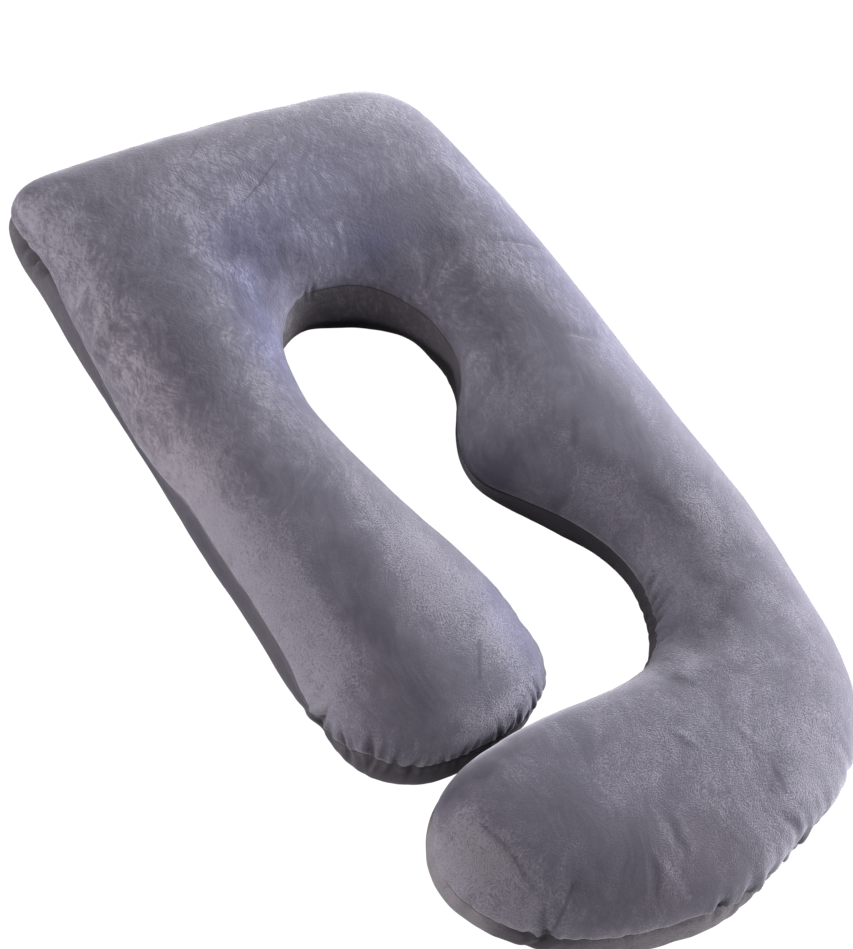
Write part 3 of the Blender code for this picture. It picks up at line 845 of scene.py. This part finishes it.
def make_pile_group():
    """The crushed pile itself: short fibres, strong where it lies light, and their height."""
    group, given, result = start_group(
        "crushed pile", {"Tone": 0.5}, {"Fleck": "Float", "Height": "Float"})
    bent = bent_place(group, *PILE_BEND)
    one_way = brushed_noise(group, bent, FIBRE_SIZE, STREAK_TURN, 3.0, 0.6)
    other_way = brushed_noise(group, bent, FIBRE_SIZE, STREAK_TURN + OTHER_FIBRES, 3.0, 0.6)
    fibres = combine(group, "MULTIPLY", combine(group, "ADD", one_way, other_way), FIBRE_STRENGTH)
    specks = brushed_noise(group, bent, GRAIN_SIZE, 0.0, 2.0, 0.6)
    grain = combine(group, "MULTIPLY", specks, GRAIN_STRENGTH)
    combed = combed_share(group, bent)
    pile = add_node(group, "Mix", {"Factor": combed, "A": grain, "B": fibres}).outputs["Result"]
    strength = remap(group, given["Tone"], DARK_TONE, LIGHT_TONE, DARK_FLECK, 1.0, "SMOOTHSTEP")
    least = combine(group, "MULTIPLY", combed, LEAST_COMBED)
    fleck = combine(group, "MULTIPLY", pile, combine(group, "MAXIMUM", strength, least))
    group.links.new(fleck, result["Fleck"])
    group.links.new(fleck, result["Height"])
    return group


def make_mark_group():
    """A thin mark drawn in the pile between two places in plan, on the upper side only."""
    group, given, result = start_group(
        "pile mark", {"Start": (0.0, 0.0, 0.0), "End": (0.1, 0.0, 0.0), "Width": 0.002,
                      "Tone": -0.5}, {"Tone": "Float"})
    bent = bent_place(group, *MARK_BEND)
    flat = combine_vectors(group, "MULTIPLY", bent, (1.0, 1.0, 0.0))
    offset = combine_vectors(group, "SUBTRACT", flat, given["Start"])
    line = combine_vectors(group, "SUBTRACT", given["End"], given["Start"])
    forward = combine_vectors(group, "DOT_PRODUCT", offset, line)
    square = combine_vectors(group, "DOT_PRODUCT", line, line)
    share = add_node(group, "Clamp", {"Value": combine(group, "DIVIDE", forward, square)})
    foot = combine_vectors(group, "SCALE", line, share.outputs[0])
    distance = combine_vectors(group, "DISTANCE", offset, foot)
    core = smooth_fade(group, distance, 0.0, given["Width"])
    group.links.new(combine(group, "MULTIPLY", core, given["Tone"]), result["Tone"])
    return group


GATHERS_ALONG = 170.0      # the gathers' noise for each metre along the seam,
GATHERS_ACROSS = 16.0      # and away from it
GATHER_REACH = 0.05        # where they have run out
STITCH_CORE, STITCH_EDGE = 0.0004, 0.0026    # half the width of the stitch line, full and faint


def make_gather_group():
    """Fine gathers that run away from the stitches, finer than the mesh can hold."""
    group, given, result = start_group(
        "fine gathers", {"Run": 0.0, "Gap": 0.0, "Gathered": 0.0},
        {"Height": "Float", "Stitch line": "Float"})
    along = combine(group, "MULTIPLY", given["Run"], GATHERS_ALONG)
    across = combine(group, "MULTIPLY", given["Gap"], GATHERS_ACROSS)
    place = add_node(group, "CombineXYZ", {"X": along, "Y": across})
    lines = add_node(group, "TexNoise", {"Vector": place.outputs[0], "Scale": 1.0, "Detail": 2.0,
                                         "Distortion": 0.3})
    near = smooth_fade(group, given["Gap"], 0.0, GATHER_REACH)
    strength = combine(group, "MULTIPLY", near, given["Gathered"])
    lines_off = combine(group, "SUBTRACT", lines.outputs["Fac"], 0.5)
    group.links.new(combine(group, "MULTIPLY", lines_off, strength), result["Height"])
    stitch = smooth_fade(group, given["Gap"], STITCH_CORE, STITCH_EDGE)
    group.links.new(stitch, result["Stitch line"])
    return group


COOL_TINT = (0.80, 0.88, 1.22, 1.0)
WARM_TINT = (1.08, 1.00, 0.94, 1.0)
SHADE_COLOUR = (0.012, 0.011, 0.014, 1.0)
FOLD_DARK, CURL_DARK, STITCH_DARK = 0.58, 0.96, 0.65    # how far each shade covers the dye
STEADY_TONE = {"Min": 0.02, "Max": 0.95}    # the limits of the tone before its flecks


def make_colour_group():
    """The dye, from dark over middle to light, darker on the stitches, with painted shade laid over
    it in folds, low in the hollow and behind the hook.
    """
    group, given, result = start_group(
        "velvet colour",
        {"Dark": (0.05, 0.05, 0.06, 1.0), "Middle": (0.12, 0.12, 0.14, 1.0),
         "Light": (0.25, 0.24, 0.28, 1.0), "Tone": 0.5, "Fleck": 0.0, "Hue": 0.0,
         "Fold shade": 0.0, "Curl shade": 0.0, "Stitch line": 0.0},
        {"Color": "Color"})
    steady = add_node(group, "Clamp", {"Value": given["Tone"], **STEADY_TONE})
    flecked = combine(group, "ADD", steady.outputs[0], given["Fleck"])
    dye = mix_colours(group, remap(group, flecked, 0.0, 0.5), given["Dark"], given["Middle"])
    dye = mix_colours(group, remap(group, flecked, 0.5, 1.0), dye, given["Light"])
    dye = mix_colours(group, given["Hue"], dye, COOL_TINT, "MULTIPLY")
    warmth = combine(group, "MULTIPLY", given["Hue"], -1.0)
    dye = mix_colours(group, warmth, dye, WARM_TINT, "MULTIPLY")
    folded = combine(group, "MULTIPLY", given["Fold shade"], FOLD_DARK)
    curled = combine(group, "MULTIPLY", given["Curl shade"], CURL_DARK)
    stitched = combine(group, "MULTIPLY", given["Stitch line"], STITCH_DARK)
    shade = combine(group, "MAXIMUM", combine(group, "MAXIMUM", folded, curled), stitched)
    group.links.new(mix_colours(group, shade, dye, SHADE_COLOUR), result["Color"])
    return group


nap_group, pile_group, mark_group = make_nap_group(), make_pile_group(), make_mark_group()
gather_group, colour_group = make_gather_group(), make_colour_group()
print("groups:", [group.name for group in bpy.data.node_groups])

# %% [markdown]
# ## The two panels' materials
#
# Velvet is dark where the eye looks straight down into the pile, and light where
# it looks along it. A Principled shader gives that with sheen over a dark, rough
# base. The lower panel is the same cloth with its pile brushed down, so it is a
# little warmer, and it is darker partly for that nap and partly as painted shade
# on the underside.

# %% Build a material for each panel
Velvet = namedtuple("Velvet", "name dark middle light patches streaks fleck sheen marked")
VELVETS = [
    Velvet("velvet, upper panel", (0.078, 0.073, 0.101, 1.0), (0.135, 0.127, 0.166, 1.0),
           (0.245, 0.234, 0.288, 1.0), 1.10, 0.80, 0.90, 0.70, True),
    # The lower panel's darker colours are partly its nap and partly painted shade on the underside.
    Velvet("velvet, lower panel", (0.045, 0.040, 0.048, 1.0), (0.095, 0.086, 0.100, 1.0),
           (0.260, 0.240, 0.262, 1.0), 0.45, 0.30, 0.40, 0.25, False),
]
PileMark = namedtuple("PileMark", "name start end width tone")
PILE_MARKS = [    # their ends are in millimetres
    PileMark("scratch, upper part",     (  20,  578), ( -32,  541), 0.0030, -0.55),
    PileMark("scratch, lower part",     ( -32,  541), ( -74,  518), 0.0028, -0.45),
    PileMark("scratch by the rim",      ( -61,  677), (-103,  635), 0.0030, -0.40),
    PileMark("blot, head",              (  51,  430), (  36,  380), 0.0090,  0.35),
    PileMark("line, corner slope",      (-312,  468), (-343,  405), 0.0050, -0.18),
    PileMark("line, arm's crown",       (-287,  390), (-311,  270), 0.0060, -0.22),
    PileMark("streak, side",            (-343,  534), (-372,  377), 0.0070,  0.35),
    PileMark("bruise, back",            ( 174,  -50), ( 154,  -79), 0.0100, -0.35),
    PileMark("bruise, bump",            (  56,  -34), (  66,  -46), 0.0090, -0.30),
    PileMark("bruise, below the bump",  ( 102, -116), ( 122, -128), 0.0080, -0.30),
    PileMark("mark, arm's end",         (-173, -297), (-204, -343), 0.0050, -0.35),
    PileMark("line, right rim",         ( 274,  295), ( 360,  257), 0.0040,  0.40),
    PileMark("line, right rim, low",    ( 267,   89), ( 295,   70), 0.0040,  0.35),
    # The next three lines darken along the hook's creases: painted shade in the folds.
    PileMark("crease, hook's end",      (-312, -510), (-301, -570), 0.0040, -0.24),
    PileMark("crease, hook, low",       (-301, -570), (-299, -612), 0.0040, -0.18),
    PileMark("line from the pinch",     (-290, -659), (-257, -633), 0.0045, -0.40),
    PileMark("streak, hook",            (-144, -651), (-125, -720), 0.0090,  0.18),
    PileMark("mark, hook's turn",       (  80, -622), (  74, -669), 0.0070, -0.30),
]
SHEEN_TINT = (0.82, 0.80, 0.90, 1.0)
SHEEN_ROUGHNESS = 0.42
VELVET_ROUGHNESS = 0.88
VELVET_SPECULAR = 0.25
PILE_DEPTH = 0.0008
GATHER_HEIGHT = 0.0022


def read_attribute(tree, name):
    return add_node(tree, "Attribute", attribute_name=name).outputs["Fac"]


def place_group(tree, group, values):
    return add_node(tree, "Group", values, node_tree=group).outputs


def marked_tone(tree, tone):
    """The tone of the nap and the painted light and shade, with every pile mark drawn into it."""
    for mark in PILE_MARKS:
        start, end = [(x / 1000, y / 1000, 0.0) for x, y in (mark.start, mark.end)]
        drawn = place_group(tree, mark_group, {"Start": start, "End": end,
                                               "Width": mark.width, "Tone": mark.tone})
        tone = combine(tree, "ADD", tone, drawn["Tone"])
    return tone


def make_velvet(kind):
    material = bpy.data.materials.new(kind.name)
    material.use_nodes = True
    tree = material.node_tree
    shader = tree.nodes["Principled BSDF"]
    nap = place_group(tree, nap_group, {"Nap and painted light": read_attribute(tree, "nap_and_painted_light"),
                                        "Patches": kind.patches, "Streaks": kind.streaks})
    tone = marked_tone(tree, nap["Tone"]) if kind.marked else nap["Tone"]
    pile = place_group(tree, pile_group, {"Tone": tone})
    gathers = place_group(tree, gather_group, {"Run": read_attribute(tree, "seam_run"),
                                               "Gap": read_attribute(tree, "seam_gap"),
                                               "Gathered": read_attribute(tree, "gathered")})
    fleck = combine(tree, "MULTIPLY", pile["Fleck"], kind.fleck)
    colour = place_group(tree, colour_group,
                         {"Dark": kind.dark, "Middle": kind.middle, "Light": kind.light,
                          "Tone": tone, "Fleck": fleck,
                          "Hue": read_attribute(tree, "hue_tone"),
                          "Fold shade": read_attribute(tree, "fold_shade"),
                          "Curl shade": read_attribute(tree, "curl_shade"),
                          "Stitch line": gathers["Stitch line"]})
    tree.links.new(colour["Color"], shader.inputs["Base Color"])
    pile_bump = add_node(tree, "Bump", {"Height": pile["Height"], "Distance": PILE_DEPTH})
    gather_bump = add_node(tree, "Bump", {"Height": gathers["Height"], "Distance": GATHER_HEIGHT,
                                          "Normal": pile_bump.outputs["Normal"]})
    tree.links.new(gather_bump.outputs["Normal"], shader.inputs["Normal"])
    shader.inputs["Roughness"].default_value = VELVET_ROUGHNESS
    shader.inputs["Specular IOR Level"].default_value = VELVET_SPECULAR
    shader.inputs["Sheen Weight"].default_value = kind.sheen
    shader.inputs["Sheen Roughness"].default_value = SHEEN_ROUGHNESS
    shader.inputs["Sheen Tint"].default_value = SHEEN_TINT
    return material


for kind in VELVETS:
    cover.data.materials.append(make_velvet(kind))
print("materials:", [material.name for material in cover.data.materials])

# %% [markdown]
# ## Floor and light
#
# The pillow lies in a plain pale studio. The floor is one large flat sheet, white
# where the camera sees it and a pale grey to the light, because a white floor
# would wash out the pillow's sides. Soft light panels stand round it, low, because
# light from above would flatten the swell: the crown is darkest, and the sides are
# bright. The strongest panel is on the right, where the pillow has its bright rim.
# Dimmer ones light the left side and the ends, and the room fills in the rest.

# %% Stage the floor and the lights
FLOOR_SIZE = 60.0
FLOOR_COLOUR = (0.55, 0.55, 0.57, 1.0)
FLOOR_ROUGHNESS = 0.9
FLOOR_WHITE = 1.05         # how bright the floor is where the camera sees it
ROOM_COLOUR = (0.93, 0.95, 1.0, 1.0)
ROOM_STRENGTH = 0.12
LIGHT_DISTANCE = 3.4
LIGHT_SIZE = 1.6
LightPanel = namedtuple("LightPanel", "name turn rise watts colour")
LIGHT_PANELS = [
    LightPanel("key from the right",      0, 20, 240.0, (0.98, 0.98, 1.0)),
    LightPanel("foot end, right",       315, 20,  85.0, (1.0, 0.99, 0.98)),
    LightPanel("left side",             180, 20,  60.0, (1.0, 0.96, 0.93)),
    LightPanel("head end, left",        135, 20,  55.0, (1.0, 0.98, 0.97)),
]


def make_floor():
    mesh = bmesh.new()
    bmesh.ops.create_grid(mesh, x_segments=1, y_segments=1, size=FLOOR_SIZE / 2)
    data = bpy.data.meshes.new("studio_floor")
    mesh.to_mesh(data)
    mesh.free()
    material = bpy.data.materials.new("pale floor")
    material.use_nodes = True
    tree = material.node_tree
    shader = tree.nodes["Principled BSDF"]
    shader.inputs["Base Color"].default_value = FLOOR_COLOUR
    shader.inputs["Roughness"].default_value = FLOOR_ROUGHNESS
    white = add_node(tree, "Emission", {"Color": (1.0, 1.0, 1.0, 1.0), "Strength": FLOOR_WHITE})
    seen = add_node(tree, "LightPath").outputs["Is Camera Ray"]
    either = add_node(tree, "MixShader", {0: seen, 1: shader.outputs[0], 2: white.outputs[0]})
    tree.links.new(either.outputs[0], tree.nodes["Material Output"].inputs["Surface"])
    data.materials.append(material)
    return add_object("studio_floor", data)


def add_light(panel):
    data = bpy.data.lights.new(panel.name, "AREA")
    data.shape = "DISK"
    data.size = LIGHT_SIZE
    data.energy = panel.watts
    data.color = panel.colour
    light = add_object(panel.name, data)
    turn, tilt = math.radians(panel.turn), math.radians(panel.rise)
    outward = Vector((math.cos(turn) * math.cos(tilt), math.sin(turn) * math.cos(tilt),
                      math.sin(tilt)))
    light.location = outward * LIGHT_DISTANCE
    light.rotation_euler = (-outward).to_track_quat("-Z", "Y").to_euler()


floor = make_floor()
for panel in LIGHT_PANELS:
    add_light(panel)

world = bpy.data.worlds.new("pale room")
world.use_nodes = True
room = world.node_tree.nodes["Background"]
room.inputs["Color"].default_value = ROOM_COLOUR
room.inputs["Strength"].default_value = ROOM_STRENGTH
bpy.context.scene.world = world
bpy.context.scene.view_settings.view_transform = "Standard"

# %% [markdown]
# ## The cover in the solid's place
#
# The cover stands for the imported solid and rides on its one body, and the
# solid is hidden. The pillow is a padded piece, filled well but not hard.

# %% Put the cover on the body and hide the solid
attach(cover, "root")
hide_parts("pillow")
